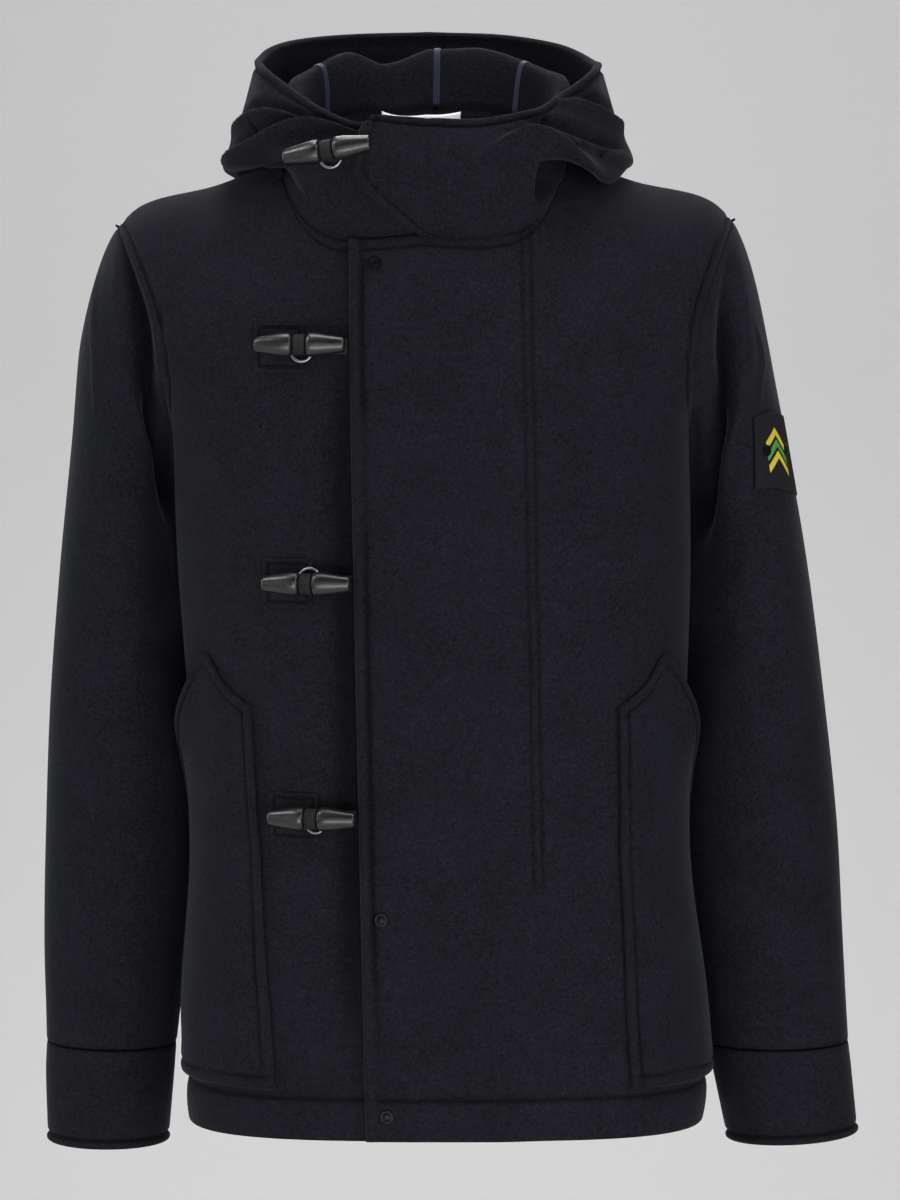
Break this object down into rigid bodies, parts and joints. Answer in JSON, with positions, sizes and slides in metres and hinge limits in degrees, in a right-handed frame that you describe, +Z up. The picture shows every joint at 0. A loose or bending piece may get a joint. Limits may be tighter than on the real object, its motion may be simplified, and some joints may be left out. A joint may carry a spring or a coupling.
{
  "type": "hooded toggle parka",
  "caption": "Hip-length hooded parka in thick felted wool, filled out with its hood down, closed by toggles and an overlapping fly, with tall side patch pockets.",
  "frame": {"origin": "middle of the neck opening, level with the neck seam at the shoulder seams", "axes": "+Z up, the front faces -Y, the wearer's left is +X"},
  "size_m": [0.599, 0.335, 0.824],
  "materials": {
    "wool": "felted, matt",
    "binding": "smooth tape",
    "label": "woven satin",
    "horn": "satin",
    "webbing": "woven",
    "ring_metal": "dull",
    "cap": "satin black",
    "badge": "woven"
  },
  "bodies": {
    "root": {"front_left": "wool", "front_right": "wool", "back": "wool", "sleeve_left": "wool", "sleeve_right": "wool", "cuff_left": "wool", "cuff_right": "wool", "pocket_left": "wool", "pocket_right": "wool", "throat_flap": "wool", "hood_left": "wool", "hood_right": "wool", "hood_back_left": "wool", "hood_back_right": "wool", "toggle_patch_2": "wool", "toggle_patch_3": "wool", "toggle_patch_4": "wool", "hood_binding_1": "binding", "hood_binding_2": "binding", "hood_binding_3": "binding", "neck_label": "label", "toggle_1": "horn", "toggle_2": "horn", "toggle_3": "horn", "toggle_4": "horn", "toggle_band_1": "webbing", "toggle_band_2": "webbing", "toggle_band_3": "webbing", "toggle_band_4": "webbing", "toggle_tape_1": "webbing", "toggle_tape_2": "webbing", "toggle_tape_3": "webbing", "toggle_tape_4": "webbing", "toggle_ring_1": "ring_metal", "toggle_ring_2": "ring_metal", "toggle_ring_3": "ring_metal", "toggle_ring_4": "ring_metal", "snap_1": "cap", "snap_2": "cap", "snap_3": "cap", "badge_button_1": "cap", "badge_button_2": "cap", "sleeve_badge": "badge"}
  },
  "joints": []
}
